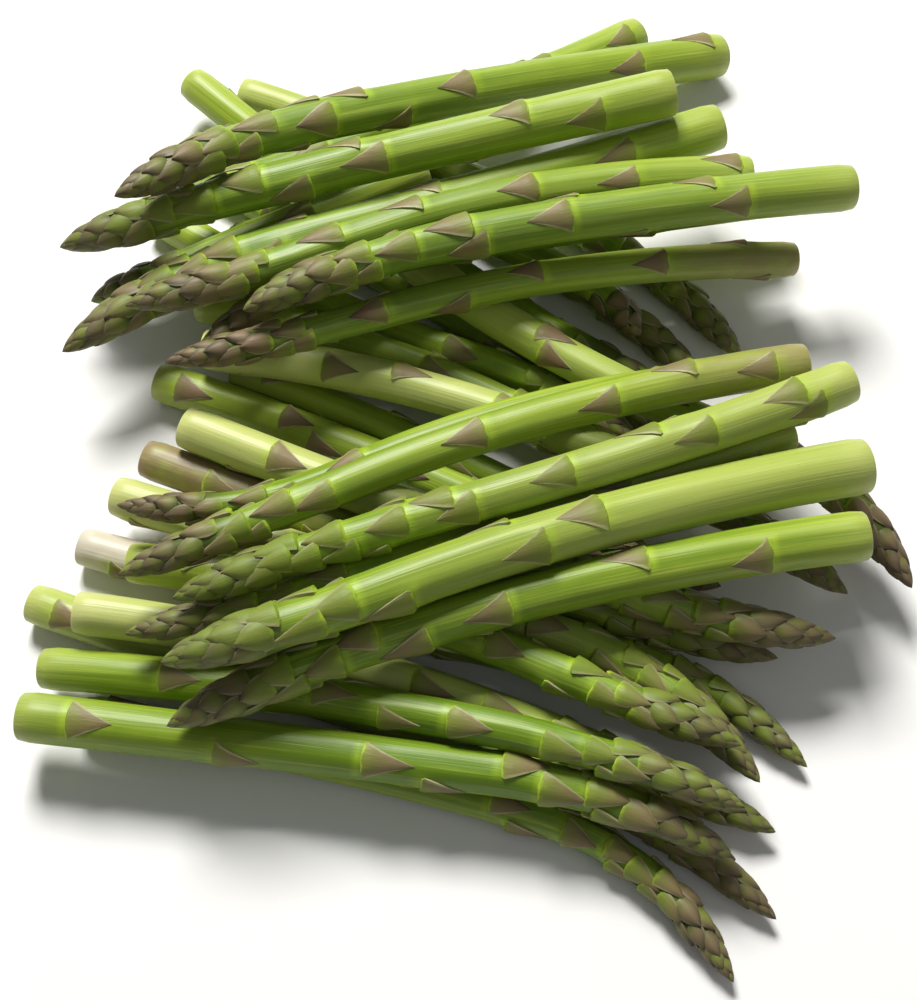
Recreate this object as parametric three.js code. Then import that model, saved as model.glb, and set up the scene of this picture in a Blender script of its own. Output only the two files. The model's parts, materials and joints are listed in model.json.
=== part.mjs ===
// A loose bundle of cut green asparagus, lying in a criss-cross heap.
// Millimetres, +Z up, +Y towards the back of the heap. The origin is under the middle of the heap, on the
// surface that it lies on. Each spear is one solid of its own, because each one grew as one piece.
import * as THREE from "three";

// ---- Driving dimensions ---------------------------------------------------------------------------------
const SPEAR_LENGTH = 208; // from cut end to tip, for a spear of length 1
const CUT_END_DIAMETER = 14; // across the cut end, for a spear of girth 1
const NECK_SHARE = 0.82; // the stem's diameter under the head, as a share of its cut end
const HEAD_LENGTH = 44; // the closed head of overlapping scales, for a spear of length 1
const HEAD_SWELL = 0.16; // how far the head swells past the neck
const CUT_EDGE = 0.7; // the small rounding left round a knife cut
const CONTACT_GAP = 0.35; // air kept between two spears that touch
const HOOK_START = 0.62; // where a curled spear begins to curl, as a share of its length
const DROOP_START = 0.4; // where a spear begins to sag under its own weight, as a share of its length
const BALANCE_POINT = 0.46; // the centre of gravity, as a share of the length, nearer the thick end
const LEVELLING = 0.12; // how strongly the neighbours hold a spear level: 0 leaves it to tip freely

// ---- How finely a spear is made -------------------------------------------------------------------------
const SIDES = 10;
const STEM_RINGS = 9;
const HEAD_RINGS = 5;
const LAYING_STEPS = 110; // points along a spear that are tested for what lies under them

// ---- The spears, in the order in which they are laid down -----------------------------------------------
// Each layer's spears are named after it and numbered from 1.
// at: the middle of the cut end, seen from above. heading: the way the stem leaves the cut end, in degrees
// from +X towards +Y. bend: how far the stem turns over its length, in degrees. hook: how much more its last
// part turns. length and girth: beside the typical spear. droop: how far the tip sags below a straight stem.
const LAYERS = {
  // Front, on the surface: cut ends to the left.
  front_low_spear: [
    { at: [-110, -63], heading: -10, bend: -10, hook: -41, length: 1, girth: 0.83, droop: 2 },
    { at: [-129, -28], heading: -20, bend: 3, hook: -27, length: 1.15, girth: 0.92, droop: 2 },
    { at: [-116, -9], heading: -16, bend: 3, hook: -20, length: 1.02, girth: 0.91, droop: 0 },
    { at: [-81, 3], heading: -20, bend: 2, hook: -28, length: 0.97, girth: 0.79, droop: 0 },
    { at: [-97, 17], heading: -21, bend: 3, hook: 4, length: 0.97, girth: 0.92, droop: 2 },
  ],
  // Back, on the surface: cut ends to the left.
  back_low_spear: [
    { at: [-77, 170], heading: -21, bend: -17, hook: -19, length: 0.99, girth: 0.9, droop: 0 },
    { at: [-51, 146], heading: -27, bend: -16, hook: -6, length: 0.78, girth: 0.88, droop: 0 },
    { at: [-94, 168], heading: -43, bend: 12, hook: 2, length: 0.97, girth: 0.91, droop: 0 },
    { at: [-95, 140], heading: -35, bend: 2, hook: 4, length: 0.99, girth: 0.92, droop: 0 },
    { at: [-103, 116], heading: -36, bend: 21, hook: -23, length: 0.89, girth: 0.91, droop: 0 },
    { at: [-85, 75], heading: -11, bend: -31, hook: 13, length: 0.85, girth: 0.84, droop: 0 },
    { at: [-73, 55], heading: -22, bend: -9, hook: 4, length: 0.7, girth: 0.83, droop: 0 },
    { at: [-97, 50], heading: -20, bend: -11, hook: 15, length: 0.92, girth: 0.97, droop: 0 },
  ],
  // Middle of the heap: cut ends to the left, lying on the ones below.
  middle_spear: [
    { at: [-10, 110], heading: -26, bend: -7, hook: -30, length: 0.41, girth: 0.9, droop: 2 },
    { at: [-18, 89], heading: -42, bend: 28, hook: -49, length: 0.94, girth: 0.97, droop: 6 },
    { at: [-81, 55], heading: -9, bend: -29, hook: -4, length: 1.04, girth: 0.98, droop: 4 },
    { at: [-84, 23], heading: -23, bend: 1, hook: 15, length: 0.99, girth: 1, droop: 4 },
    { at: [-105, 4], heading: -19, bend: -1, hook: -33, length: 1.03, girth: 0.95, droop: 4 },
    { at: [-98, -20], heading: -7, bend: -27, hook: 10, length: 0.9, girth: 0.93, droop: 4 },
    { at: [-112, -37], heading: -6, bend: -23, hook: 3, length: 1.02, girth: 0.94, droop: 4 },
    { at: [-125, -68], heading: -7, bend: -1, hook: -21, length: 0.99, girth: 1.07, droop: 3 },
    { at: [-122, -51], heading: -6, bend: -12, hook: -7, length: 0.99, girth: 0.93, droop: 3 },
  ],
  // Front, on top: cut ends to the right.
  front_top_spear: [
    { at: [94, 37], heading: 185, bend: 33, hook: -43, length: 0.97, girth: 0.79, droop: 6 },
    { at: [99, 14], heading: 200, bend: -1, hook: -9, length: 0.98, girth: 0.84, droop: 6 },
    { at: [117, -21], heading: 187, bend: 16, hook: 2, length: 0.99, girth: 1.1, droop: 6 },
    { at: [104, 34], heading: 189, bend: 23, hook: -9, length: 1.02, girth: 0.94, droop: 6 },
    { at: [115, 24], heading: 202, bend: -9, hook: 6, length: 0.99, girth: 1, droop: 6 },
    { at: [119, 1], heading: 192, bend: 15, hook: -9, length: 1.01, girth: 1.24, droop: 6 },
  ],
  // Back, on top: cut ends to the right.
  back_top_spear: [
    { at: [-11, 122], heading: 205, bend: -5, hook: -3, length: 0.57, girth: 0.91, droop: 6 },
    { at: [86, 131], heading: 200, bend: -5, hook: 23, length: 1.09, girth: 1.17, droop: 6 },
    { at: [65, 196], heading: 216, bend: -14, hook: 7, length: 1.06, girth: 1.05, droop: 6 },
    { at: [107, 112], heading: 194, bend: 2, hook: 34, length: 0.99, girth: 0.89, droop: 8 },
    { at: [110, 89], heading: 186, bend: 24, hook: -15, length: 0.99, girth: 0.88, droop: 8 },
    { at: [69, 133], heading: 194, bend: 1, hook: 2, length: 0.97, girth: 1.16, droop: 6 },
    { at: [94, 108], heading: 183, bend: 34, hook: -20, length: 0.98, girth: 1.01, droop: 6 },
    { at: [125, 100], heading: 189, bend: 9, hook: 11, length: 0.95, girth: 1.1, droop: 6 },
    { at: [94, 186], heading: 202, bend: 5, hook: 14, length: 1.08, girth: 1.16, droop: 6 },
  ],
};

const { DEG2RAD, clamp, smoothstep } = THREE.MathUtils;

// The stem's radius at a distance from the cut end.
function radiusAt(spear, distance) {
  const neck = spear.radius * NECK_SHARE;
  if (distance < spear.stem) return THREE.MathUtils.lerp(spear.radius, neck, distance / spear.stem);
  const along = clamp((distance - spear.stem) / spear.head, 0, 1);
  return neck * (1 + HEAD_SWELL * Math.sin(Math.PI * along)) * (1 - along ** 2.4) ** 0.7;
}

// Points along the centre line as seen from above, evenly spaced from the cut end to the tip.
function planOf(spear) {
  const step = spear.long / LAYING_STEPS;
  const points = [new THREE.Vector3(...spear.at, 0)];
  for (let i = 1; i <= LAYING_STEPS; i++) {
    const along = (i - 0.5) / LAYING_STEPS;
    const curl = smoothstep(along, HOOK_START, 1) * spear.hook;
    const turned = (spear.heading + spear.bend * along + curl) * DEG2RAD;
    const next = points[i - 1].clone();
    points.push(next.add(new THREE.Vector3(Math.cos(turned), Math.sin(turned), 0).multiplyScalar(step)));
  }
  return points;
}

// The lowest height at which a point of a spear clears the surface and every spear already laid.
function heightOver(point, radius, laid) {
  let height = radius;
  for (const other of laid) {
    for (let i = 0; i <= LAYING_STEPS; i++) {
      const below = other.line[i];
      const reach = radius + other.radii[i] + CONTACT_GAP;
      const apart = Math.hypot(point.x - below.x, point.y - below.y);
      if (apart < reach) height = Math.max(height, below.z + Math.sqrt(reach ** 2 - apart ** 2));
    }
  }
  return height;
}

// The corners of the tightest convex roof over the needed heights: a stiff stem can only touch at these.
function roofOver(needed) {
  const corners = [];
  needed.forEach((height, i) => {
    while (corners.length > 1) {
      const [before, last] = corners.slice(-2);
      const bulge = (last.height - before.height) * (i - before.i);
      if (bulge > (height - before.height) * (last.i - before.i)) break;
      corners.pop();
    }
    corners.push({ i, height });
  });
  return corners;
}

// The straight line that a stiff stem comes to rest on: low at its balance point, and no steeper than it has
// to be, because its neighbours steady it.
function restingLine(needed) {
  const corners = roofOver(needed);
  const steps = needed.length - 1;
  const edges = corners.slice(1).map((c, k) => (c.height - corners[k].height) / (c.i - corners[k].i));
  let best = { cost: Infinity };
  corners.forEach(({ i, height }, k) => {
    const rising = edges[Math.max(k - 1, 0)];
    const falling = edges[Math.min(k, edges.length - 1)];
    for (const slope of [rising, falling, Math.min(Math.max(0, falling), rising)]) {
      const cost = height + slope * (BALANCE_POINT * steps - i) + LEVELLING * Math.abs(slope) * steps;
      if (cost < best.cost - 1e-9) best = { cost, slope, start: height - slope * i };
    }
  });
  return best;
}

// Lays a spear on the surface and on the spears already there, and records its centre line.
function lay(spear, laid) {
  spear.long = SPEAR_LENGTH * spear.length;
  spear.head = HEAD_LENGTH * spear.length;
  spear.stem = spear.long - spear.head;
  spear.radius = (CUT_END_DIAMETER * spear.girth) / 2;
  const plan = planOf(spear);
  spear.radii = plan.map((_, i) => radiusAt(spear, (spear.long * i) / LAYING_STEPS));
  const sag = plan.map((_, i) => {
    const past = Math.max(0, i / LAYING_STEPS - DROOP_START) / (1 - DROOP_START);
    return -spear.droop * past ** 2;
  });
  const needed = plan.map((point, i) => heightOver(point, spear.radii[i], laid) - sag[i]);
  const rest = restingLine(needed);
  spear.line = plan.map((point, i) => point.setZ(rest.start + rest.slope * i + sag[i]));
  laid.push(spear);
}

// A straight spear, turned about its own axis from the middle of the cut end to the tip.
function straightSpear(spear) {
  const outline = [new THREE.Vector2(0, 0), new THREE.Vector2(spear.radius - CUT_EDGE, 0)];
  for (let i = 0; i < STEM_RINGS; i++) {
    const distance = THREE.MathUtils.lerp(CUT_EDGE, spear.stem, i / STEM_RINGS);
    outline.push(new THREE.Vector2(radiusAt(spear, distance), distance));
  }
  for (let i = 0; i < HEAD_RINGS; i++) {
    const distance = spear.stem + (spear.head * i) / HEAD_RINGS;
    outline.push(new THREE.Vector2(radiusAt(spear, distance), distance));
  }
  outline.push(new THREE.Vector2(0, spear.long));
  return new THREE.LatheGeometry(outline, SIDES);
}

// Bends a straight spear along its centre line, keeping each ring square to the line.
function bendAlong(geometry, spear) {
  const curve = new THREE.CatmullRomCurve3(spear.line);
  curve.arcLengthDivisions = 2 * LAYING_STEPS;
  const place = geometry.getAttribute("position");
  for (let i = 0; i < place.count; i++) {
    const along = clamp(place.getY(i) / spear.long, 0, 1);
    const centre = curve.getPointAt(along);
    const tangent = curve.getTangentAt(along);
    const side = new THREE.Vector3(0, 0, 1).cross(tangent).normalize();
    const up = tangent.clone().cross(side);
    centre.addScaledVector(side, -place.getX(i)).addScaledVector(up, place.getZ(i));
    place.setXYZ(i, centre.x, centre.y, centre.z);
  }
}

const bundle = new THREE.Group();
const laid = [];
for (const [layer, spears] of Object.entries(LAYERS)) {
  for (const [i, spear] of spears.entries()) {
    lay(spear, laid);
    const geometry = straightSpear(spear);
    bendAlong(geometry, spear);
    const skin = new THREE.MeshStandardMaterial({ color: 0x7fa02c, roughness: 0.45, metalness: 0 });
    const mesh = new THREE.Mesh(geometry, skin);
    mesh.name = `${layer}_${i + 1}`;
    bundle.add(mesh);
  }
}

// The heap is centred over the origin, and its lowest spears lie on z = 0.
const box = new THREE.Box3().setFromObject(bundle);
const middle = box.getCenter(new THREE.Vector3());
bundle.position.set(-middle.x, -middle.y, -box.min.z);

export default bundle;
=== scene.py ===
"""The looks of a loose bundle of green asparagus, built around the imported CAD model.

Each spear is modelled straight, as a stem with its scale leaves rolled round it, and is then bent along the
centre line of its CAD solid, which it replaces. Lengths inside the modelling code are in millimetres, along
+X from the cut end to the tip, and they become metres when a spear is bent into its place.
"""

import json
import logging
import math
from dataclasses import dataclass, field
from enum import Enum
from typing import Callable

import bmesh
import bpy
import numpy as np
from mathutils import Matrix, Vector

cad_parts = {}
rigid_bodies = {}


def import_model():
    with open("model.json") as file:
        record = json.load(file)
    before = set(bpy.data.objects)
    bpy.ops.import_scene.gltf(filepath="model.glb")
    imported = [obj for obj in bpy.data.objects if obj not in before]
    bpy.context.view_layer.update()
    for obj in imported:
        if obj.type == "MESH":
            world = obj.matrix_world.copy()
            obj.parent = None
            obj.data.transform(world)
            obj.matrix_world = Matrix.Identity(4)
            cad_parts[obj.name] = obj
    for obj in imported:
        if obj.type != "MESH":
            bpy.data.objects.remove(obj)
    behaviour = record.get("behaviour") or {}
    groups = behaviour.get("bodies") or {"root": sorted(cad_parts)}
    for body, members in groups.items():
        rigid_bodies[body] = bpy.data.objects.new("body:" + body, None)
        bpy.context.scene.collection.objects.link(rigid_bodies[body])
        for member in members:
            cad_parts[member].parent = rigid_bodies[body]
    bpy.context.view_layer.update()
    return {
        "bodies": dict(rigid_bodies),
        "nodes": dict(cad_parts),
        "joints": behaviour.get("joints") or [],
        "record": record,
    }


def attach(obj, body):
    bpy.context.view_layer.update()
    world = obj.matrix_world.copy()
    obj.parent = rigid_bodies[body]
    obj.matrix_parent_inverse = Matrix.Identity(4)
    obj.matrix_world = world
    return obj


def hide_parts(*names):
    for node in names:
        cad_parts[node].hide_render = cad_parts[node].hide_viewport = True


LOG = logging.getLogger("asparagus")
MM = 0.001

# How the CAD solids are made, which the skins follow.
CAD_SIDES = 10  # vertices in each ring of a CAD spear
NECK_SHARE = 0.82  # the stem's radius under the head, as a share of its cut end
TYPICAL_LENGTH = 208.0  # a typical spear, in millimetres
HEAD_SHARE = 44 / TYPICAL_LENGTH  # the closed head, as a share of the spear's length
HEAD_SWELL = 0.16  # how far the head swells past the neck

# How the skins lie on them, in millimetres where nothing else is said.
HEAD_SUNK = 0.18  # how far the stem draws in under the scales of the head, as a share of its radius
SKIN_SUNK = 0.2  # how far the stem's skin lies inside its solid, which leaves room for its ridges
EDGE_DROP = 0.9  # how far the edge of the cut end is rounded off
EDGE_REACH = 0.7  # how soon that rounding fades along the stem
CUSHION = 0.32  # how far the stem swells under the base of a leaf
CUSHION_REACH = 4.0  # how far that swelling runs along the stem
CLOSING = 7.0  # the stretch in which the last scales close over the tip
CREASE = math.radians(42)  # edges sharper than this stay sharp

# How the spears differ from each other.
FIRST_SEED = 700  # the first spear's seed, to which each spear adds its number
PATTERN_STEP = 317.0  # how far one spear's patterns lie from the next one's, in millimetres
GOLDEN_TURN = math.radians(137.5)  # how far round the stem each leaf of a spiral stands from the one before
FAR_SIDE = math.radians(100)  # how far round from the listed leaves the spiral still sets its own

# How leaves change towards the tip: distances left to it in millimetres, then what belongs to each.
LEAF_LENGTHS = ((0, 4, 14, 32, 48, 120, 200), (2.8, 4.6, 8, 10.5, 13.5, 13.5, 13))  # in millimetres
LEAF_SPREADS = ((0, 8, 20, 34, 60, 200), (85, 66, 50, 46, 50, 44))  # half a base's angle, in degrees
LEAF_RISES = ((0, 6, 20, 45, 75, 120, 200), (0.6, 1.0, 1.4, 1.7, 1.35, 0.9, 0.75))  # in millimetres

Triple = tuple[float, float, float]
Colour = Triple


# ---- Mesh tools ------------------------------------------------------------


def deselect_all() -> None:
    """Leaves nothing selected, so that an operator acts only on what is picked next."""
    if bpy.context.object and bpy.context.object.mode != "OBJECT":
        bpy.ops.object.mode_set(mode="OBJECT")
    bpy.ops.object.select_all(action="DESELECT")


def take_up(piece: bpy.types.Object) -> None:
    """Makes one object the only selected and active one.

    Args:
        piece: The object.
    """
    deselect_all()
    piece.select_set(True)
    bpy.context.view_layer.objects.active = piece


def pick(piece: bpy.types.Object, wanted: Callable[[Vector], bool]) -> None:
    """Selects vertices of the mesh in edit mode by their place.

    Args:
        piece: The object in edit mode.
        wanted: Says of a vertex's place whether it is selected.
    """
    bpy.ops.mesh.select_mode(type="VERT")
    sheet = bmesh.from_edit_mesh(piece.data)
    for vert in sheet.verts:
        vert.select_set(wanted(vert.co))
    sheet.select_flush(True)
    bmesh.update_edit_mesh(piece.data)


def places(mesh: bpy.types.Mesh) -> np.ndarray:
    """Reads the places of a mesh's vertices.

    Args:
        mesh: The mesh.

    Returns:
        One row of three numbers for each vertex.
    """
    rows = np.empty(len(mesh.vertices) * 3)
    mesh.vertices.foreach_get("co", rows)
    return rows.reshape(-1, 3)


def put(mesh: bpy.types.Mesh, rows: np.ndarray) -> None:
    """Moves a mesh's vertices to new places."""
    mesh.vertices.foreach_set("co", np.ascontiguousarray(rows, dtype=np.float32).ravel())
    mesh.update()


def note(mesh: bpy.types.Mesh, name: str, values: np.ndarray | float) -> None:
    """Writes a number on every vertex, under a name that the finishes read.

    Args:
        mesh: The mesh that carries the numbers.
        name: The attribute's name.
        values: One number for all vertices, or one for each.
    """
    layer = mesh.attributes.get(name) or mesh.attributes.new(name, "FLOAT", "POINT")
    full = np.broadcast_to(np.asarray(values, dtype=np.float32), len(mesh.vertices))
    layer.data.foreach_set("value", np.ascontiguousarray(full))


def smooth(x: np.ndarray | float, low: float, high: float) -> np.ndarray:
    """A smooth ramp from 0 at low to 1 at high."""
    share = np.clip((np.asarray(x, dtype=float) - low) / (high - low), 0, 1)
    return share * share * (3 - 2 * share)


# ---- Shader tools ----------------------------------------------------------


class Value:
    """A socket that carries a number, with Python's arithmetic."""

    def __init__(self, recipe: "Recipe", socket: bpy.types.NodeSocket) -> None:
        """Wraps a socket of a recipe's node tree."""
        self.recipe = recipe
        self.socket = socket

    def maths(self, operation: str, *others: "Value | float", first: bool = True) -> "Value":
        """Adds a Math node.

        Args:
            operation: The node's operation.
            others: The other operands.
            first: Whether this value comes before the others.

        Returns:
            The node's result.
        """
        operands = [self, *others] if first else [*others, self]
        links = dict(enumerate(operands))
        return self.recipe.value("ShaderNodeMath", {"operation": operation}, links)

    def __add__(self, other: "Value | float") -> "Value":
        """Sum."""
        return self.maths("ADD", other)

    __radd__ = __add__

    def __mul__(self, other: "Value | float") -> "Value":
        """Product."""
        return self.maths("MULTIPLY", other)

    __rmul__ = __mul__

    def __sub__(self, other: "Value | float") -> "Value":
        """Difference."""
        return self.maths("SUBTRACT", other)

    def __rsub__(self, other: "Value | float") -> "Value":
        """Difference, the other way round."""
        return self.maths("SUBTRACT", other, first=False)

    def __pow__(self, other: "Value | float") -> "Value":
        """Power."""
        return self.maths("POWER", other)

    def __abs__(self) -> "Value":
        """Size without sign."""
        return self.maths("ABSOLUTE")

    def clamped(self) -> "Value":
        """The value kept from 0 to 1."""
        return self.maths("MINIMUM", 1.0).maths("MAXIMUM", 0.0)

    def ramp(self, low: float, high: float) -> "Value":
        """Adds a smooth step.

        Args:
            low: Where it is still 0.
            high: Where it reaches 1.

        Returns:
            The node's result.
        """
        settings = {"interpolation_type": "SMOOTHSTEP"}
        links = {"Value": self, "From Min": low, "From Max": high}
        return self.recipe.value("ShaderNodeMapRange", settings, links)


class Recipe:
    """A material being put together from nodes."""

    def __init__(self, name: str) -> None:
        """Starts a material with an empty node tree.

        Args:
            name: The material's name.
        """
        self.material = bpy.data.materials.new(name)
        self.material.use_nodes = True
        self.tree = self.material.node_tree
        self.tree.nodes.clear()

    def node(self, kind: str, settings: dict | None = None, links: dict | None = None) -> bpy.types.Node:
        """Adds a node.

        Args:
            kind: The node's type.
            settings: Properties of the node, set first.
            links: Values or links of its sockets, by name or number.

        Returns:
            The node.
        """
        made = self.tree.nodes.new(kind)
        for key, setting in (settings or {}).items():
            setattr(made, key, setting)
        for key, given in (links or {}).items():
            socket = made.inputs[key]
            source = given.socket if isinstance(given, Value) else given
            if isinstance(source, bpy.types.NodeSocket):
                self.tree.links.new(source, socket)
            elif isinstance(source, tuple) and len(source) == 3 and socket.type == "RGBA":
                socket.default_value = (*source, 1.0)
            else:
                socket.default_value = source
        return made

    def value(self, kind: str, settings: dict | None = None, links: dict | None = None) -> Value:
        """Adds a node and wraps its first output."""
        return Value(self, self.node(kind, settings, links).outputs[0])

    def written(self, name: str) -> Value:
        """The number that a mesh carries under a name."""
        made = self.node("ShaderNodeAttribute", {"attribute_name": name})
        return Value(self, made.outputs["Fac"])

    def noise(self, place: bpy.types.NodeSocket, stretch: Triple, detail: float = 2.0) -> Value:
        """Adds a noise.

        Args:
            place: The coordinates that it follows.
            stretch: Its scale along each of them.
            detail: How many finer layers it has.

        Returns:
            A number from about 0 to 1.
        """
        scaled = self.node("ShaderNodeMapping", None, {"Vector": place, "Scale": stretch})
        links = {"Vector": scaled.outputs[0], "Scale": 1.0, "Detail": detail, "Roughness": 0.55}
        return self.value("ShaderNodeTexNoise", None, links)

    def blend(self, under: object, over: object, factor: Value | float) -> bpy.types.NodeSocket:
        """Mixes two colours.

        Args:
            under: The colour at factor 0.
            over: The colour at factor 1.
            factor: How much of the second shows.

        Returns:
            The mixed colour's socket.
        """
        settings = {"data_type": "RGBA", "clamp_factor": True}
        return self.node("ShaderNodeMix", settings, {0: factor, 6: under, 7: over}).outputs[2]

    def finish(self, colour: object, roughness: object, bump: Value | None = None, depth: float = 0.0,
               **fixed: float) -> bpy.types.Material:
        """Joins the finished values to a shader.

        Args:
            colour: The base colour.
            roughness: The roughness.
            bump: A height that varies over the surface.
            depth: How far that height reaches, in metres.
            fixed: Numbers that are the same all over, by the shader's socket names with _ for a space.

        Returns:
            The material.
        """
        links = {"Base Color": colour, "Roughness": roughness}
        links |= {name.replace("_", " "): number for name, number in fixed.items()}
        if bump is not None:
            grain = self.node("ShaderNodeBump", None, {"Height": bump, "Distance": depth, "Strength": 1.0})
            links["Normal"] = grain.outputs[0]
        shader = self.node("ShaderNodeBsdfPrincipled", None, links)
        self.node("ShaderNodeOutputMaterial", None, {"Surface": shader.outputs[0]})
        return self.material


# ---- Finishes --------------------------------------------------------------


@dataclass(frozen=True)
class StemSkin:
    """The waxy green skin of a stem, paler at the cut end, with fine lengthwise fibres, and painted shade on
    the stem under the head's scales.
    """

    lower: Colour = (0.27, 0.37, 0.022)
    upper: Colour = (0.122, 0.218, 0.008)
    streak: Colour = (0.44, 0.56, 0.08)
    shade: Colour = (0.08, 0.18, 0.008)
    cream: Colour = (0.54, 0.56, 0.21)
    white: Colour = (0.66, 0.62, 0.50)
    blush: Colour = (0.23, 0.135, 0.10)
    rim: Colour = (0.36, 0.52, 0.025)
    # core is painted shade: the stem under the head's scales is dark so that the gaps between them look
    # shaded
    core: Colour = (0.068, 0.100, 0.008)

    def make(self) -> bpy.types.Material:
        """Builds the material.

        Returns:
            The material.
        """
        recipe = Recipe("stem_skin")
        straight = recipe.node("ShaderNodeAttribute", {"attribute_name": "straight"}).outputs["Vector"]
        along = recipe.written("along")
        fibres = recipe.noise(straight, (0.02, 1.7, 1.7), 3.0)
        bands = recipe.noise(straight, (0.008, 0.32, 0.32), 1.0)
        mottle = recipe.noise(straight, (0.09, 0.16, 0.16), 2.0)
        specks = recipe.noise(straight, (1.1, 1.5, 1.5), 1.0)
        age = (along * 1.15 + (mottle - 0.5) * 0.45 + recipe.written("fresh") - 0.12).clamped()
        colour = recipe.blend(self.lower, self.upper, age)
        colour = recipe.blend(colour, self.streak, fibres.ramp(0.5, 0.78) * 0.5 + bands.ramp(0.5, 0.8) * 0.35)
        dim = bands.ramp(0.5, 0.22) * 0.35 + fibres.ramp(0.45, 0.25) * 0.2
        colour = recipe.blend(colour, self.shade, dim)
        pale = recipe.written("pale")
        colour = recipe.blend(colour, self.cream, pale * (0.75 + mottle * 0.4))
        colour = recipe.blend(colour, self.white, pale - 1.0)
        colour = recipe.blend(colour, self.rim, recipe.written("collar") * 0.6)
        blotchy = mottle.ramp(0.2, 0.65) * 0.6 + 0.4
        colour = recipe.blend(colour, self.blush, recipe.written("mauve") * blotchy)
        colour = recipe.blend(colour, self.shade, specks.ramp(0.73, 0.8) * 0.5)
        # Painted shade: the stem under the head's scales takes the dark core colour.
        colour = recipe.blend(colour, self.core, along.ramp(0.81, 0.88))
        height = fibres * 0.7 + bands * 0.8
        return recipe.finish(colour, 0.36 + fibres * 0.12, height, 0.00016, Specular_IOR_Level=0.36,
                             Coat_Weight=0.05, Coat_Roughness=0.3, Subsurface_Weight=0.12,
                             Subsurface_Scale=0.003)


@dataclass(frozen=True)
class LeafSkin:
    """The thin skin of a scale leaf: a bright base, an olive middle and a mauve point with a pale edge, with
    painted shade at the base and edges of the head's scales.
    """

    base: Colour = (0.36, 0.50, 0.035)
    olive: Colour = (0.185, 0.215, 0.034)
    mauve: Colour = (0.200, 0.168, 0.066)
    purple: Colour = (0.19, 0.075, 0.075)
    dusk: Colour = (0.080, 0.066, 0.040)
    # The dark colour of the leaf points, also used as painted shade on the head's scales
    dark_and_painted_shade: Colour = (0.032, 0.022, 0.014)
    edge: Colour = (0.44, 0.42, 0.23)
    rim: Colour = (0.25, 0.22, 0.13)
    green: Colour = (0.13, 0.23, 0.015)

    def make(self) -> bpy.types.Material:
        """Builds the material.

        Returns:
            The material.
        """
        recipe = Recipe("leaf_skin")
        flat = recipe.node("ShaderNodeUVMap", {"uv_map": "UVMap"}).outputs[0]
        split = recipe.node("ShaderNodeSeparateXYZ", None, {0: flat})
        up = Value(recipe, split.outputs[0])
        aside = abs(Value(recipe, split.outputs[1]) - 0.5) * 2.0
        straight = recipe.node("ShaderNodeAttribute", {"attribute_name": "straight"}).outputs["Vector"]
        stage, tone = recipe.written("stage"), recipe.written("tone")
        plum, tight = recipe.written("plum"), recipe.written("tight")
        veins = recipe.noise(straight, (0.06, 2.2, 2.2), 2.0)
        cloud = recipe.noise(straight, (0.22, 0.4, 0.4), 2.0)
        wander = up + (cloud - 0.5) * 0.35 + (veins - 0.5) * 0.12
        bright = recipe.blend(self.green, self.base, 1.0 - wander.ramp(0.02, 0.3) * 0.8)
        purple = wander * 0.95 + aside * (tight * 0.3 + 0.2) + tone * 0.4 + plum - stage * 0.3
        body = recipe.blend(self.olive, self.mauve, purple.ramp(0.3, 1.0))
        body = recipe.blend(body, self.purple, (plum * 1.1 - 0.1).clamped() * wander.ramp(0.0, 0.5) * 0.8)
        grey = tone * 0.35 + (wander + aside * 0.5).ramp(0.3, 1.1) * 0.5
        body = recipe.blend(body, self.dusk, tight * grey)
        young = wander * (1.0 - stage * 0.5)
        ripe = young.ramp(0.0, 0.15) * 0.85 + young.ramp(0.15, 0.6) * 0.3 + tight * 0.5
        colour = recipe.blend(bright, body, ripe.clamped())
        lush = (stage * (1.0 - tone) * (1.0 - up) - plum * 0.5).clamped()
        colour = recipe.blend(colour, self.green, lush * 0.6)
        colour = recipe.blend(colour, self.dark_and_painted_shade, (wander + aside * 0.2).ramp(0.55, 1.2) * (plum * 0.9 + 0.3))
        # Painted shade: the base of each head scale, where the point of the scale below lies over it, is
        # darkened.
        colour = recipe.blend(colour, self.dark_and_painted_shade, (1.0 - up.ramp(0.0, 0.42)) * tight * 0.75)
        margin = recipe.blend(self.edge, self.rim, (stage * 0.6 + tight * 0.4).clamped())
        colour = recipe.blend(colour, margin, aside.ramp(0.80, 0.92) * up.ramp(0.05, 0.3) * 0.6)
        # Painted shade: the very edges and point of each head scale are darkened, as in the gaps between
        # scales.
        colour = recipe.blend(colour, self.dark_and_painted_shade, (aside.ramp(0.93, 1.0) + up.ramp(0.94, 1.0)) * tight * 0.8)
        height = veins * 0.6 + cloud * 0.5
        return recipe.finish(colour, 0.44 + veins * 0.14, height, 0.00014, Specular_IOR_Level=0.32,
                             Subsurface_Weight=0.06, Subsurface_Scale=0.002)


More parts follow.
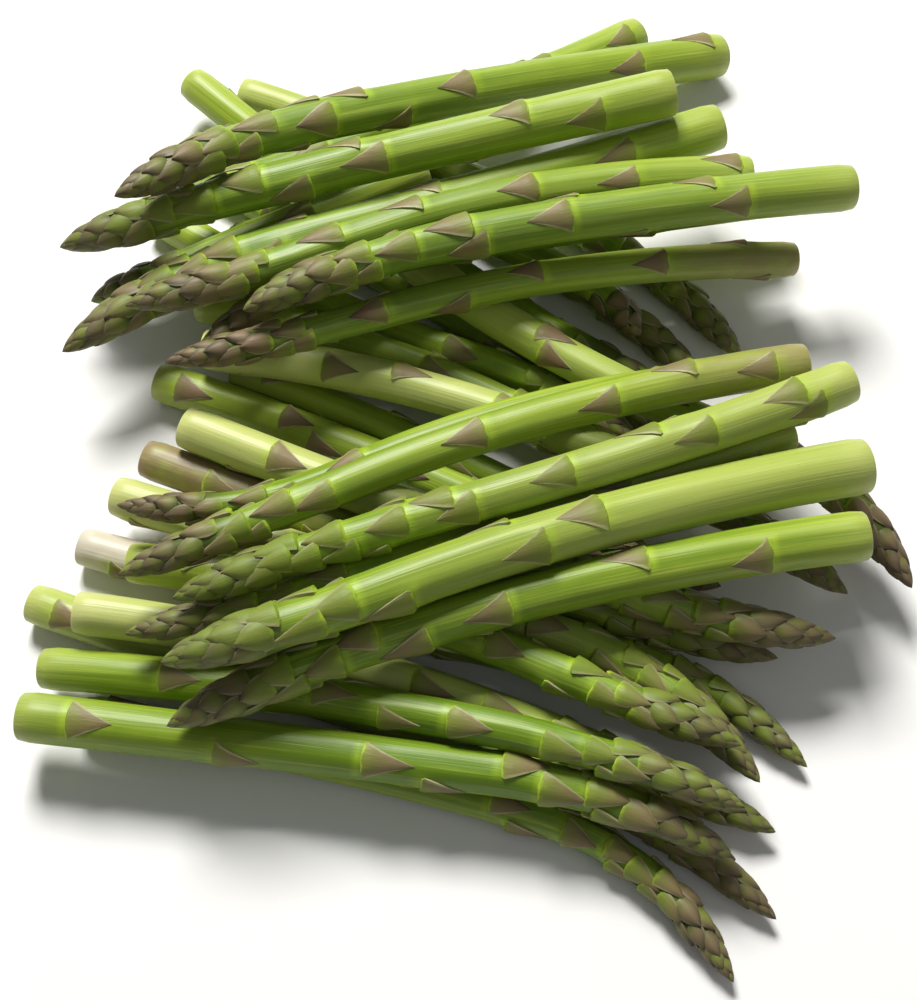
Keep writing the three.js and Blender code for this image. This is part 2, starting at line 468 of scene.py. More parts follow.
@dataclass(frozen=True)
class CutFlesh:
    """The moist, pale inside of a stem where it was cut, with the dots of its fibres and a green rim."""

    flesh: Colour = (0.52, 0.60, 0.24)
    core: Colour = (0.66, 0.70, 0.42)
    fibre: Colour = (0.24, 0.30, 0.07)
    rim: Colour = (0.22, 0.36, 0.05)

    def make(self) -> bpy.types.Material:
        """Builds the material.

        Returns:
            The material.
        """
        recipe = Recipe("cut_flesh")
        straight = recipe.node("ShaderNodeAttribute", {"attribute_name": "straight"}).outputs["Vector"]
        split = recipe.node("ShaderNodeSeparateXYZ", None, {0: straight})
        side, up = Value(recipe, split.outputs[1]), Value(recipe, split.outputs[2])
        out = (side ** 2.0 + up ** 2.0) ** 0.5
        links = {"Vector": straight, "Scale": 1.1}
        cells = recipe.node("ShaderNodeTexVoronoi", {"voronoi_dimensions": "3D"}, links)
        dots = 1.0 - Value(recipe, cells.outputs["Distance"]).ramp(0.12, 0.3)
        grain = recipe.noise(straight, (1.4, 1.4, 1.4), 3.0)
        colour = recipe.blend(self.core, self.flesh, out.ramp(1.0, 5.0) + (grain - 0.5) * 0.4)
        colour = recipe.blend(colour, self.fibre, dots * out.ramp(1.2, 2.6) * 0.7)
        colour = recipe.blend(colour, self.rim, out.ramp(5.2, 7.0) * 0.6)
        return recipe.finish(colour, 0.4 + grain * 0.2, grain - dots * 0.5, 0.0003, Subsurface_Weight=0.12,
                             Subsurface_Scale=0.002)


@dataclass(frozen=True)
class FloorPaper:
    """The plain pale floor."""

    tone: Colour = (0.82, 0.82, 0.81)
    fleck: Colour = (0.78, 0.78, 0.775)

    def make(self) -> bpy.types.Material:
        """Builds the material.

        Returns:
            The material.
        """
        recipe = Recipe("floor_paper")
        place = recipe.node("ShaderNodeTexCoord").outputs["Object"]
        grain = recipe.noise(place, (30.0, 30.0, 30.0), 2.0)
        return recipe.finish(recipe.blend(self.tone, self.fleck, grain), 0.9)


# ---- Scale leaves ----------------------------------------------------------


@dataclass(frozen=True)
class Row:
    """One row of a flat scale leaf, across it.

    Attributes:
        along: Its place, from 0 at the base to 1 at the point.
        width: Its half width, 1 at the leaf's widest.
        rise: Its height over the stem at the middle, 1 at the leaf's highest.
    """

    along: float
    width: float
    rise: float


class LeafShape(Enum):
    """The three forms that a scale leaf takes from the cut end to the tip, as rows from base to point."""

    PAPERY = (Row(0, 0.94, 0.45), Row(0.05, 1, 0.9), Row(0.25, 0.77, 0.72), Row(0.48, 0.50, 0.58),
              Row(0.7, 0.28, 0.46), Row(0.88, 0.11, 0.36), Row(1, 0.015, 0.25))
    BUDDED = (Row(0, 0.92, 0.55), Row(0.05, 1, 1.0), Row(0.28, 0.85, 0.95), Row(0.5, 0.62, 0.8),
              Row(0.72, 0.36, 0.58), Row(0.9, 0.14, 0.4), Row(1, 0.015, 0.25))
    CLASPING = (Row(0, 0.84, 0.22), Row(0.10, 0.97, 0.52), Row(0.32, 1, 0.84), Row(0.55, 0.87, 1.0),
                Row(0.76, 0.58, 1.02), Row(0.91, 0.26, 0.95), Row(1, 0.02, 0.8))

    @classmethod
    def at(cls, left: float) -> "LeafShape":
        """Chooses the form of a leaf by its place.

        Args:
            left: The distance from its base to the spear's tip, in millimetres.

        Returns:
            Its form.
        """
        if left > 95:
            return cls.PAPERY
        return cls.BUDDED if left > 34 else cls.CLASPING


@dataclass
class ScaleLeaf:
    """A scale leaf, modelled flat: along +X from base to point, across Y, and up Z.

    Attributes:
        shape: Which of the forms it has.
        arch: How far its sides drop below its middle, as a share of its height.
        root: How deep its edges reach into the stem.
        columns: Faces across it.
        parked: How far off finished rows wait while the others are picked.
    """

    shape: LeafShape
    arch: float
    root: float = -0.5
    columns: int = 6
    parked: float = 10.0

    def model(self, skin: bpy.types.Material) -> bpy.types.Mesh:
        """Shapes a grid row by row, draws its edges down into the stem and closes it.

        Args:
            skin: The leaf's material.

        Returns:
            The flat leaf's mesh.
        """
        rows = self.shape.value
        last = len(rows) - 1
        deselect_all()
        bpy.ops.mesh.primitive_grid_add(x_subdivisions=last, y_subdivisions=self.columns, size=2)
        piece = bpy.context.object
        piece.name = f"leaf_{self.shape.name.lower()}"
        bpy.ops.object.mode_set(mode="EDIT")
        bpy.ops.mesh.select_all(action="SELECT")
        bpy.ops.transform.translate(value=(1, 0, 1))
        bpy.ops.transform.resize(value=(last / 2, 1, 1), center_override=(0, 0, 0))
        for step in range(1, self.columns // 2 + 1):
            aside = 2 * step / self.columns
            pick(piece, lambda co: abs(abs(co.y) - aside) < 0.01)
            bpy.ops.transform.translate(value=(0, 0, -self.arch * aside ** 2))
        for number in range(last, -1, -1):
            self.shape_row(piece, number, rows[number])
        self.close(piece)
        bpy.ops.object.mode_set(mode="OBJECT")
        piece.data.materials.append(skin)
        return piece.data

    def shape_row(self, piece: bpy.types.Object, number: int, row: Row) -> None:
        """Gives one row its place, width and height.

        Args:
            piece: The leaf in edit mode, whose untouched rows lie a unit apart.
            number: The row's number from the base.
            row: What it becomes.
        """
        pick(piece, lambda co: abs(co.x - number) < 0.01)
        bpy.ops.transform.resize(value=(1, row.width, row.rise), center_override=(number, 0, 0))
        bpy.ops.transform.translate(value=(self.parked + row.along - number, 0, 0))

    def close(self, piece: bpy.types.Object) -> None:
        """Brings the rows back, draws the leaf's edges down to its root depth and closes it there.

        Args:
            piece: The leaf in edit mode.
        """
        bpy.ops.mesh.select_all(action="SELECT")
        bpy.ops.transform.translate(value=(-self.parked, 0, 0))
        bpy.ops.mesh.select_mode(type="EDGE")
        bpy.ops.mesh.region_to_loop()
        bpy.ops.mesh.extrude_edges_move()
        bpy.ops.transform.resize(value=(1, 1, 0), center_override=(0, 0, self.root))
        bpy.ops.mesh.edge_face_add()
        bpy.ops.mesh.select_all(action="SELECT")
        bpy.ops.mesh.normals_make_consistent(inside=False)


@dataclass(frozen=True)
class LeafPlace:
    """Where and how large one scale leaf is on its spear.

    Attributes:
        along: Its base's distance from the cut end.
        turn: Its middle's direction round the stem, in radians from the spear's upper side.
        length: From its base to its point.
        spread: Half the angle that its base takes round the stem, in radians.
        rise: Its height over the stem.
        stage: 0 on the lower stem to 1 in the head.
    """

    along: float
    turn: float
    length: float
    spread: float
    rise: float
    stage: float


# ---- Spears ----------------------------------------------------------------


class Complexion(Enum):
    """How a spear is coloured towards its cut end: how pale it is, how mauve, and how far that reaches."""

    GREEN = (0.0, 0.0, 40.0)
    LIGHT = (0.28, 0.0, 120.0)
    CREAM = (0.6, 0.0, 140.0)
    WHITE = (1.9, 0.25, 45.0)
    RUDDY = (0.1, 0.85, 70.0)
    DUSKY = (0.0, 0.55, 45.0)


@dataclass(frozen=True)
class Character:
    """What sets one spear apart from the others.

    Attributes:
        complexion: Its colouring towards the cut end.
        plum: How purple its scales are, from -0.3 to 0.6.
        fresh: How much greener than usual it is.
        leaves: Scales that are placed one by one, as distance from the cut end in millimetres and degrees
            round
        the stem from its upper side. The spiral goes on beyond them.
    """

    complexion: Complexion = Complexion.GREEN
    plum: float = 0.1
    fresh: float = 0.0
    leaves: tuple[tuple[float, float], ...] = ()


CHARACTERS: dict[str, Character] = {
    "front_low_spear_1": Character(plum=0.25, fresh=0.35, leaves=(
        (122, 3), (128, -99), (144, -33), (157, -10), (159, -91), (165, -33), (171, -80), (173, 17))),
    "front_low_spear_2": Character(Complexion.LIGHT, 0.3, leaves=((9, -27),)),
    "front_low_spear_3": Character(Complexion.WHITE, 0.2),
    "front_low_spear_5": Character(Complexion.RUDDY, 0.3, leaves=((22, -35),)),
    "back_low_spear_1": Character(Complexion.LIGHT, leaves=((21, -64),)),
    "back_low_spear_3": Character(leaves=((168, -35), (183, -10))),
    "back_low_spear_5": Character(plum=0.2, leaves=((114, -27), (143, -3), (149, -70))),
    "back_low_spear_6": Character(plum=0.2, leaves=((78, -27),)),
    "back_low_spear_8": Character(plum=0.5, leaves=((8, -27), (44, -3), (55, -57))),
    "middle_spear_1": Character(plum=0.55),
    "middle_spear_2": Character(Complexion.LIGHT, 0.5, -0.1, ((54, 22), (58, -54))),
    "middle_spear_3": Character(Complexion.CREAM, 0.2, -0.1, ((40, -27), (62, 20))),
    "middle_spear_4": Character(Complexion.CREAM, 0.3, -0.1, ((30, -10),)),
    "middle_spear_5": Character(Complexion.CREAM, 0.1, -0.1),
    "middle_spear_7": Character(Complexion.CREAM, 0.1, leaves=((101, -27), (122, -10))),
    "middle_spear_8": Character(plum=0.2, fresh=0.5, leaves=(
        (15, -13), (57, -71), (99, -27), (116, -99), (138, 26), (149, -44), (162, -7), (165, -99), (173, -39),
        (179, 17), (184, -27))),
    "middle_spear_9": Character(plum=0.15, fresh=0.4, leaves=(
        (37, -15), (82, 0), (102, -57), (122, -27), (149, -44), (161, -15), (165, -99), (168, 37), (170, -44),
        (176, 10), (181, -27))),
    "front_top_spear_1": Character(plum=0.4, fresh=0.1, leaves=((127, 3), (157, 15), (170, 39))),
    "front_top_spear_3": Character(plum=0.15, fresh=0.15, leaves=(
        (29, 47), (64, -26), (105, 39), (129, 76), (143, -3), (154, 47), (165, 85), (168, 10))),
    "front_top_spear_4": Character(Complexion.DUSKY, 0.1, leaves=(
        (10, 27), (34, -31), (59, 39), (100, 21), (147, 41), (159, 6), (168, 85), (173, 33))),
    "front_top_spear_5": Character(Complexion.LIGHT, -0.1, leaves=(
        (11, 64), (16, -3), (45, 27), (60, -50), (88, 15), (117, 41), (123, -26), (137, 18), (152, 76),
        (155, -3), (163, 51), (168, -37), (171, 21))),
    "front_top_spear_6": Character(Complexion.LIGHT, -0.1, -0.05, (
        (81, -6), (99, 45), (140, 85), (155, 20), (165, 57), (176, -26), (179, 33))),
    "back_top_spear_2": Character(plum=0.2, fresh=0.3, leaves=((32, 39), (96, -37))),
    "back_top_spear_3": Character(fresh=0.2, leaves=((6, 27),)),
    "back_top_spear_4": Character(plum=0.3, fresh=0.2),
    "back_top_spear_5": Character(Complexion.DUSKY, 0.5, 0.1, (
        (17, -45), (45, 27), (87, 0), (112, 85), (139, 21), (162, 71))),
    "back_top_spear_6": Character(plum=0.1, fresh=0.3, leaves=(
        (24, 60), (48, -6), (95, 39), (102, -45), (120, 85), (135, 3), (151, 33), (156, -37), (164, 20),
        (172, 80))),
    "back_top_spear_7": Character(plum=0.25, fresh=0.2, leaves=(
        (4, -17), (38, 36), (71, 13), (108, -37), (135, -17), (159, -26), (163, 20), (167, 64))),
    "back_top_spear_8": Character(plum=0.15, fresh=0.4, leaves=(
        (36, 51), (46, -37), (93, 21), (120, 76), (124, -10), (142, 27), (154, 85), (156, -3), (162, 51),
        (167, 10))),
    "back_top_spear_9": Character(plum=0.2, fresh=0.35, leaves=(
        (6, -26), (36, 47), (102, 13), (126, 99), (140, -45), (153, 44), (173, -3), (180, 76), (188, 33))),
}


@dataclass(frozen=True)
class CentreLine:
    """The line down the middle of a CAD spear, from the cut end to the tip.

    Attributes:
        points: Places on it, in millimetres.
        radius: The spear's radius at the cut end, in millimetres.
    """

    points: np.ndarray
    radius: float

    @classmethod
    def of(cls, node: bpy.types.Object) -> "CentreLine":
        """Walks a CAD spear's mesh from its tip, ring by ring.

        Args:
            node: The CAD node.

        Returns:
            Its centre line.
        """
        corners = places(node.data) / MM
        rows, same = np.unique(np.round(corners, 2), axis=0, return_inverse=True)
        same = same.ravel()
        near: list[set[int]] = [set() for _ in rows]
        for face in node.data.polygons:
            ring = {int(same[i]) for i in face.vertices}
            for vert in ring:
                near[vert] |= ring - {vert}
        poles = [i for i, others in enumerate(near) if len(others) == CAD_SIDES]
        tip = max(poles, key=lambda i: np.linalg.norm(rows[list(near[i])].mean(0) - rows[i]))
        seen, ring, rings = {tip}, {tip}, [{tip}]
        while ring:
            ring = set().union(*(near[i] for i in ring)) - seen
            seen |= ring
            if len(ring) == CAD_SIDES:
                rings.append(ring)
        middles = [rows[list(ring)].mean(0) for ring in rings]
        full = rows[list(rings[-2])]
        radius = float(np.linalg.norm(full - full.mean(0), axis=1).mean())
        del middles[-2]
        return cls(np.array(middles[::-1]), radius)

    def rail(self, name: str) -> bpy.types.Object:
        """Draws the line as a smooth curve for a spear to be bent along.

        Args:
            name: The curve's name.

        Returns:
            The curve.
        """
        data = bpy.data.curves.new(name, "CURVE")
        data.dimensions = "3D"
        data.twist_mode = "Z_UP"
        data.resolution_u = 12
        line = data.splines.new("BEZIER")
        line.bezier_points.add(len(self.points) - 1)
        for knot, place in zip(line.bezier_points, self.points):
            knot.co = place * MM
            knot.handle_left_type = "AUTO"
            knot.handle_right_type = "AUTO"
        rail = bpy.data.objects.new(name, data)
        bpy.context.scene.collection.objects.link(rail)
        return rail


@dataclass
class StemBlank:
    """A straight stem of length 1 and radius 1, along +X, modelled once for all spears.

    Attributes:
        sides: Faces round it.
        rings: Faces along it.
    """

    sides: int = 40
    rings: int = 150

    def model(self, skin: bpy.types.Material, flesh: bpy.types.Material) -> bpy.types.Mesh:
        """Makes the stem from a cylinder, cut into rings, with its cut end inset.

        Args:
            skin: The material of its side.
            flesh: The material of its cut end.

        Returns:
            The stem's mesh.
        """
        deselect_all()
        bpy.ops.mesh.primitive_cylinder_add(vertices=self.sides, radius=1, depth=1, end_fill_type="NGON",
                                            location=(0.5, 0, 0), rotation=(0, math.pi / 2, 0))
        bpy.ops.object.transform_apply(location=True, rotation=True, scale=True)
        piece = bpy.context.object
        piece.name = "stem_blank"
        piece.data.materials.append(skin)
        piece.data.materials.append(flesh)
        bpy.ops.object.mode_set(mode="EDIT")
        bpy.ops.mesh.select_mode(type="EDGE")
        sheet = bmesh.from_edit_mesh(piece.data)
        for edge in sheet.edges:
            edge.select_set(abs(edge.verts[0].co.x - edge.verts[1].co.x) > 0.5)
        bmesh.update_edit_mesh(piece.data)
        bpy.ops.mesh.subdivide(number_cuts=self.rings - 1)
        for thickness in (0.08, 0.14, 0.26, 0.3):
            self.pick_cap(piece)
            bpy.ops.mesh.inset(thickness=thickness)
        bpy.ops.object.mode_set(mode="OBJECT")
        for face in piece.data.polygons:
            if face.center.x < 1e-6:
                face.material_index = 1
        return piece.data

    def pick_cap(self, piece: bpy.types.Object) -> None:
        """Selects the innermost face of the cut end.

        Args:
            piece: The stem in edit mode.
        """
        bpy.ops.mesh.select_mode(type="FACE")
        sheet = bmesh.from_edit_mesh(piece.data)
        cap = [face for face in sheet.faces if face.calc_center_median().x < 1e-6]
        middle = max(cap, key=lambda face: len(face.verts))
        for face in sheet.faces:
            face.select_set(face is middle)
        bmesh.update_edit_mesh(piece.data)


@dataclass
class Spear:
    """One spear of asparagus.

    Attributes:
        name: The CAD node that it stands for.
        number: Its place in the order of building, which seeds its own small differences.
        line: Its centre line.
        character: What sets it apart.
        chance: Where its small differences are drawn from.
        rail: The curve that it is bent along.
        length: Its length in millimetres, as are all lengths below.
        head: The length of its closed head.
        leaves: Its leaves, each in its place.
    """

    name: str
    number: int
    line: CentreLine
    character: Character
    chance: np.random.Generator = field(init=False)
    rail: bpy.types.Object = field(init=False)
    length: float = field(init=False)
    head: float = field(init=False)
    leaves: list[LeafPlace] = field(init=False)

    def __post_init__(self) -> None:
        """Works out the spear's lengths and places its leaves."""
        self.chance = np.random.default_rng(FIRST_SEED + self.number)
        self.rail = self.line.rail(f"rail_{self.name}")
        self.length = self.rail.data.splines[0].calc_length() / MM
        self.head = self.length * HEAD_SHARE
        self.leaves = self.place_leaves()

    def radius_at(self, along: np.ndarray) -> np.ndarray:
        """Works out the radius of the spear's body under its leaves.

        Args:
            along: Distances from the cut end.

        Returns:
            The radii there.
        """
        neck = self.line.radius * NECK_SHARE
        stem = self.length - self.head
        body = self.line.radius + (neck - self.line.radius) * np.clip(along / stem, 0, 1)
        share = np.clip((along - stem) / self.head, 0, 1)
        body = body * (1 + HEAD_SWELL * np.sin(math.pi * share)) * (1 - share ** 2.4) ** 0.7
        edge = EDGE_DROP * np.exp(-np.clip(along, 0, None) / EDGE_REACH)
        inner = smooth(along, stem - 25, stem + 12)
        return np.maximum(body * (1 - HEAD_SUNK * inner) - edge - SKIN_SUNK * (1 - inner), 0.05)

    def covered(self, along: np.ndarray) -> np.ndarray:
        """How far the scales of the head cover the stem, from 0 to 1, at distances from the cut end."""
        return smooth(along, self.length - self.head - 8, self.length - self.head + 4)

    def gap_after(self, along: float) -> float:
        """Works out the distance from one leaf to the next.

        Args:
            along: The first one's distance from the cut end.

        Returns:
            The distance to the next one.
        """
        left = (self.length - along) * TYPICAL_LENGTH / self.length
        near = 0.5 + 0.042 * min(left, 52)
        return near + 0.27 * float(np.clip(left - 52, 0, 62))

    def place_leaves(self) -> list[LeafPlace]:
        """Sets the listed leaves, then a spiral beyond them and on the far side of the spear.

        Returns:
            The leaves.
        """
        by_hand = [(place, math.radians(degrees)) for place, degrees in self.character.leaves]
        found = [self.leaf_at(place, turn) for place, turn in by_hand]
        last = max((place for place, _ in by_hand), default=0.0)
        clear = last + max(self.gap_after(last) - 8, 0) if by_hand else 0.0
        sines = sum(math.sin(turn) for _, turn in by_hand)
        face = math.atan2(sines, sum(math.cos(turn) for _, turn in by_hand))
        step = GOLDEN_TURN * (1 if self.number % 2 else -1)
        turn = self.chance.uniform(0, 2 * math.pi)
        along = self.chance.uniform(5, 20)
        while along < self.length - 1.6:
            away = abs((turn - face + math.pi) % (2 * math.pi) - math.pi)
            if along > clear or away > FAR_SIDE:
                found.append(self.leaf_at(along, turn + self.chance.normal(0, 0.12)))
            along += self.gap_after(along) * self.chance.uniform(0.85, 1.15)
            turn += step
        return found

    def leaf_at(self, along: float, turn: float) -> LeafPlace:
        """Sizes a leaf for its place on the spear.

        Args:
            along: Its distance from the cut end.
            turn: Its direction round the stem, in radians.

        Returns:
            The leaf.
        """
        left = self.length - along
        stage = float(smooth(left, 100, 40))
        long = np.interp(left, *LEAF_LENGTHS)
        long *= self.chance.uniform(0.9, 1.1) * (self.line.radius / 7) ** 0.5
        spread = np.interp(left, *LEAF_SPREADS)
        rise = np.interp(left, *LEAF_RISES)
        long = min(float(long), left + 0.2)
        spread = math.radians(float(spread) * self.chance.uniform(0.92, 1.08))
        return LeafPlace(along, turn, long, spread, float(rise) * self.chance.uniform(0.85, 1.15), stage)

    def shape_stem(self, blank: bpy.types.Mesh) -> bpy.types.Mesh:
        """Gives a copy of the blank the spear's length, girth, swellings and faint ridges.

        Args:
            blank: The stem of length 1 and radius 1.

        Returns:
            The straight stem's mesh.
        """
        mesh = blank.copy()
        rows = places(mesh)
        out = np.hypot(rows[:, 1], rows[:, 2])
        angle = np.arctan2(rows[:, 1], rows[:, 2])
        step = 1 / (len(np.unique(np.round(rows[:, 0], 5))) - 1)
        along = rows[:, 0] * self.length
        along = np.where(np.abs(rows[:, 0] - step) < step / 4, 0.45, along)
        relief, collar = self.swellings(along, angle)
        gone = smooth(along, self.length - 11, self.length - 1)
        radius = (self.radius_at(along) * (1 - 0.85 * gone) + relief * smooth(along, 0, 6)) * out
        dish = 0.35 * (1 - out ** 2) * (rows[:, 0] < 1e-6)
        rows = np.column_stack([along + dish, radius * np.sin(angle), radius * np.cos(angle)])
        put(mesh, rows)
        note(mesh, "collar", collar)
        return mesh

    def swellings(self, along: np.ndarray, angle: np.ndarray) -> tuple[np.ndarray, np.ndarray]:
        """How far the stem stands out around and below each leaf.

        Args:
            along: Distances from the cut end.
            angle: Directions round the stem.

        Returns:
            The height of the stem's relief, and how bright the collar under a leaf is there.
        """
        phase = self.chance.uniform(0, 2 * math.pi, 3)
        relief = 0.07 * np.sin(5 * angle + phase[0] + along / 60)
        relief += 0.05 * np.sin(8 * angle + phase[1] - along / 45)
        collar = np.zeros_like(along)
        for leaf in self.leaves:
            turned = (angle - leaf.turn + math.pi) % (2 * math.pi) - math.pi
            reach = along - leaf.along
            inside = 1 - smooth(np.abs(turned), 0.75 * leaf.spread, 1.35 * leaf.spread)
            relief += self.cushion(leaf, reach, turned)
            below = np.exp(-np.clip(-reach, 0, None) / 20) * (reach < 1)
            for corner in (-leaf.spread, 0.0, leaf.spread):
                ridge = np.exp(-((turned - corner) / 0.13) ** 2)
                relief += (0.10 if corner else 0.07) * ridge * below
            collar += np.exp(-((reach + 0.5) / 1.15) ** 2) * inside
        bare = 1 - self.covered(along)
        return relief * bare, np.clip(collar, 0, 1) * bare

    def cushion(self, leaf: LeafPlace, reach: np.ndarray, turned: np.ndarray) -> np.ndarray:
        """How far the stem swells under the base of one leaf.

        Args:
            leaf: The leaf.
            reach: Distances past the leaf's base.
            turned: Directions round the stem from the leaf's middle.

        Returns:
            The height of the swelling.
        """
        inside = 1 - smooth(np.abs(turned), 0.8 * leaf.spread, 1.4 * leaf.spread)
        return CUSHION * np.exp(-((reach - 1) / CUSHION_REACH) ** 2) * inside

    def roll_leaf(self, flat: bpy.types.Mesh, leaf: LeafPlace) -> bpy.types.Mesh:
        """Rolls a copy of a flat leaf round the stem.

        Args:
            flat: The flat leaf.
            leaf: Where it goes.

        Returns:
            The leaf's mesh in its place on the straight spear.
        """
        mesh = flat.copy()
        rows = places(mesh)
        up, across, height = rows.T
        skew = self.chance.normal(0, 0.05)
        ragged = self.chance.normal(0, 0.012, len(rows)) * (up < 0.07)
        curl = self.chance.uniform(0.8, 1.3)
        along = leaf.along + (up + ragged) * leaf.length + 0.5 * across ** 2 * (up < 0.07)
        turned = (across + skew * up) * leaf.spread
        bare = 1 - self.covered(along)
        under = self.cushion(leaf, along - leaf.along, turned) * bare * smooth(along, 0, 6)
        closed = np.sqrt(np.clip((self.length - along) / CLOSING, 0, 1))
        lift = np.where(height > 0, height * leaf.rise * (1 + 0.25 * (curl - 1) * up) * closed, height)
        radius = np.maximum(self.radius_at(along) + under + lift, 0.05)
        angle = leaf.turn + turned
        put(mesh, np.column_stack([along, radius * np.sin(angle), radius * np.cos(angle)]))
        note(mesh, "stage", leaf.stage)
        # tight marks the head's scales, on which the leaf skin paints shade at the base and edges.
        note(mesh, "tight", smooth(self.length - leaf.along, 38, 20))
        note(mesh, "tone", self.chance.uniform(0, 1))
        return mesh

    def build(self, blank: bpy.types.Mesh, flat: dict[LeafShape, bpy.types.Mesh]) -> bpy.types.Object:
        """Models the straight spear, bends it into its place and dresses it.

        Args:
            blank: The stem of length 1 and radius 1.
            flat: The flat leaves.

        Returns:
            The finished piece.
        """
        meshes = [self.shape_stem(blank)]
        for leaf in self.leaves:
            shape = LeafShape.at(self.length - leaf.along)
            meshes.append(self.roll_leaf(flat[shape], leaf))
        deselect_all()
        for mesh in reversed(meshes):
            part = bpy.data.objects.new(f"part_{self.name}", mesh)
            bpy.context.scene.collection.objects.link(part)
            part.select_set(True)
            bpy.context.view_layer.objects.active = part
        bpy.ops.object.join()
        piece = bpy.context.object
        piece.name = f"spear_{self.name}"
        self.mark(piece.data)
        put(piece.data, places(piece.data) * MM)
        self.bend(piece)
        bpy.ops.object.shade_smooth_by_angle(angle=CREASE)
        return piece

    def mark(self, mesh: bpy.types.Mesh) -> None:
        """Writes on the straight spear what its finishes read.

        Args:
            mesh: The straight spear's mesh, in millimetres.
        """
        rows = places(mesh)
        straight = mesh.attributes.new("straight", "FLOAT_VECTOR", "POINT")
        moved = rows + np.array([PATTERN_STEP * self.number, 0, 0])
        straight.data.foreach_set("vector", np.ascontiguousarray(moved, dtype=np.float32).ravel())
        pale, mauve, reach = self.character.complexion.value
        fade = 1 - smooth(rows[:, 0], 0.45 * reach, 1.4 * reach)
        dry = 0.35 * np.exp(-rows[:, 0] / 9)
        note(mesh, "along", rows[:, 0] / self.length)
        note(mesh, "pale", np.clip(pale * fade + dry * (pale < 1) + self.chance.uniform(0, 0.08), 0, 2))
        note(mesh, "mauve", mauve * fade)
        note(mesh, "plum", self.character.plum + self.chance.uniform(-0.1, 0.1))
        note(mesh, "fresh", self.character.fresh + self.chance.uniform(-0.1, 0.1))

    def bend(self, piece: bpy.types.Object) -> None:
        """Bends the straight spear along its rail, which is then removed, and presses it flat on the surface.

        Args:
            piece: The straight spear, in metres.
        """
        take_up(piece)
        bow = piece.modifiers.new("bow", "CURVE")
        bow.object = self.rail
        bow.deform_axis = "POS_X"
        bpy.ops.object.modifier_apply(modifier=bow.name)
        rows = places(piece.data)
        rows[:, 2] = np.maximum(rows[:, 2], 0)
        put(piece.data, rows)
        bpy.data.objects.remove(self.rail)


# ---- The bundle and its studio ---------------------------------------------


@dataclass
class Bundle:
    """All the spears of the heap.

    Attributes:
        frame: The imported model.
    """

    frame: dict

    def build(self) -> list[bpy.types.Object]:
        """Models the shared shapes, then builds every spear and lets it ride on the frame.

        Returns:
            The spears.
        """
        stem = StemSkin().make()
        leaf = LeafSkin().make()
        cut = CutFlesh().make()
        blank = StemBlank().model(stem, cut)
        arches = {LeafShape.PAPERY: 0.3, LeafShape.BUDDED: 0.42, LeafShape.CLASPING: 0.62}
        flat = {shape: ScaleLeaf(shape, arch).model(leaf) for shape, arch in arches.items()}
        shared = (blank, *flat.values())
        patterns = [thing for thing in bpy.context.scene.objects if thing.data in shared]
        made = []
        for number, (name, node) in enumerate(sorted(self.frame["nodes"].items())):
            spear = Spear(name, number, CentreLine.of(node), CHARACTERS.get(name, Character()))
            piece = spear.build(blank, flat)
            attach(piece, "root")
            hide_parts(name)
            LOG.info("%s: %d leaves, %d faces", piece.name, len(spear.leaves), len(piece.data.polygons))
            made.append(piece)
        for thing in patterns:
            bpy.data.objects.remove(thing)
        return made


@dataclass(frozen=True)
class Lamp:
    """A square soft light, aimed at the heap.

    Attributes:
        name: Its name.
        place: Where it hangs, in metres.
        size: Its side, in metres.
        power: Its power in watts.
        tone: Its colour.
    """

    name: str
    place: Triple
    size: float
    power: float
    tone: Colour = (1.0, 1.0, 1.0)

    def hang(self) -> None:
        """Adds the light and turns it towards the heap."""
        deselect_all()
        bpy.ops.object.light_add(type="AREA", location=self.place)
        lamp = bpy.context.object
        lamp.name = self.name
        lamp.data.size = self.size
        lamp.data.energy = self.power
        lamp.data.color = self.tone
        aim = Vector((0, 0, 0.02)) - Vector(self.place)
        lamp.rotation_euler = aim.to_track_quat("-Z", "Y").to_euler()


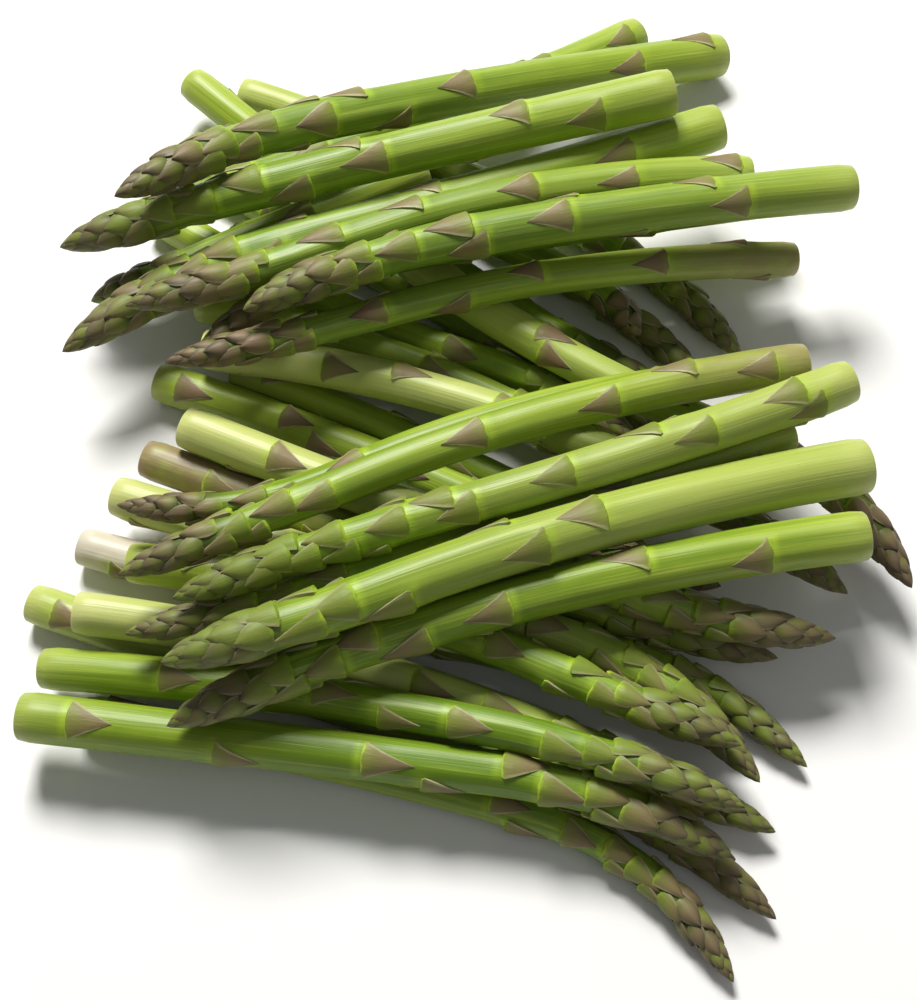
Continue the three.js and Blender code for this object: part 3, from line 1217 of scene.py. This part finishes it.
@dataclass
class Studio:
    """The floor, the lights and the camera.

    Attributes:
        lamps: A soft main light behind and above the heap, and a weak fill.
        surrounding: How bright the pale surrounding is.
        aim: What the camera looks at, in metres.
        distance: From there to the camera.
        elevation: The camera's height above the horizon, in degrees.
        lens: The camera's focal length in millimetres, on a 36 mm sensor.
    """

    lamps: tuple[Lamp, ...] = (
        Lamp("main_light", (-0.3, 1.05, 1.45), 0.6, 54.0, (1.0, 0.985, 0.95)),
        Lamp("fill_light", (0.5, -0.6, 0.9), 1.0, 1.2),
    )
    surrounding: float = 0.15
    aim: Vector = field(default_factory=lambda: Vector((-0.00203, -0.03083, 0.020)))
    distance: float = 0.5
    elevation: float = 63.0
    lens: float = 59.4

    def lay_floor(self) -> None:
        """Lays a wide pale floor under the heap."""
        deselect_all()
        bpy.ops.mesh.primitive_circle_add(vertices=64, radius=6, fill_type="NGON", location=(0, 0, -0.0004))
        bpy.ops.object.transform_apply(location=True, rotation=True, scale=True)
        floor = bpy.context.object
        floor.name = "floor"
        floor.data.materials.append(FloorPaper().make())

    def light(self) -> None:
        """Hangs the lamps and sets the pale surrounding."""
        for lamp in self.lamps:
            lamp.hang()
        world = bpy.data.worlds.new("surrounding")
        world.use_nodes = True
        glow = world.node_tree.nodes["Background"]
        glow.inputs["Color"].default_value = (1, 1, 1, 1)
        glow.inputs["Strength"].default_value = self.surrounding
        bpy.context.scene.world = world
        bpy.context.scene.view_settings.view_transform = "Standard"

    def place_camera(self) -> None:
        """Looks down on the heap from the front."""
        slope = math.radians(self.elevation)
        back = Vector((0, -math.cos(slope), math.sin(slope)))
        deselect_all()
        bpy.ops.object.camera_add(location=self.aim + back * self.distance)
        camera = bpy.context.object
        camera.rotation_euler = (math.pi / 2 - slope, 0, 0)
        camera.data.lens = self.lens
        bpy.context.scene.camera = camera


def corners(box: tuple[Vector, Vector]) -> list[list[float]]:
    """A box's two corners as plain lists."""
    return [list(corner) for corner in box]


def main() -> None:
    """Builds the bundle round its frame, then the studio."""
    logging.basicConfig(level=logging.INFO, format="%(name)s: %(message)s")
    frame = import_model()
    pieces = Bundle(frame).build()
    studio = Studio()
    studio.lay_floor()
    studio.light()
    studio.place_camera()
    LOG.info("%d spears", len(pieces))


if __name__ == "__main__":
    main()
